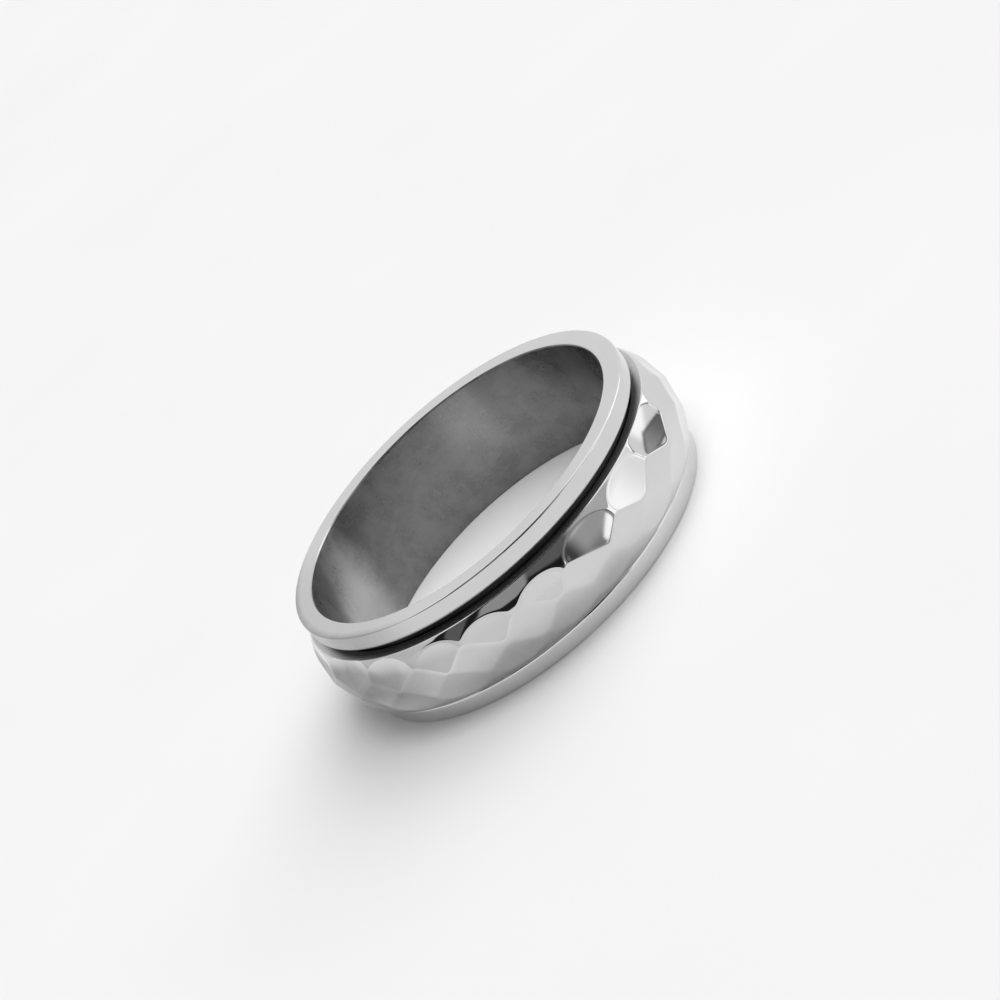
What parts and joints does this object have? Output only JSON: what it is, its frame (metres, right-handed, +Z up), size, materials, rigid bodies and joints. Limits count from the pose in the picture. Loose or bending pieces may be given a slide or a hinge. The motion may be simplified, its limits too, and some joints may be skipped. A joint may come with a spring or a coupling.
{
  "type": "spinner ring",
  "caption": "Finger ring whose plain inner band has a rim at each end, with a loose domed and hammered band that turns between the rims.",
  "frame": {"origin": "on the ring's axis, in the plane of the lower rim's face, which the ring lies on", "axes": "+Z up along the ring's axis, X and Y across the finger hole"},
  "size_m": [0.0218, 0.0217, 0.0061],
  "materials": {
    "inner_band_steel": "polished rims, satin finger hole",
    "spinner_steel": "hammered and mirror polished steel"
  },
  "bodies": {
    "band": {"inner_band": "inner_band_steel"},
    "spinner": {"spinner_band": "spinner_steel"}
  },
  "joints": [
    {"name": "spinner_turn", "type": "hinge", "parent": "band", "child": "spinner", "pos_m": [0, 0, 0.00305], "axis": [0, 0, 1], "continuous": true}
  ]
}
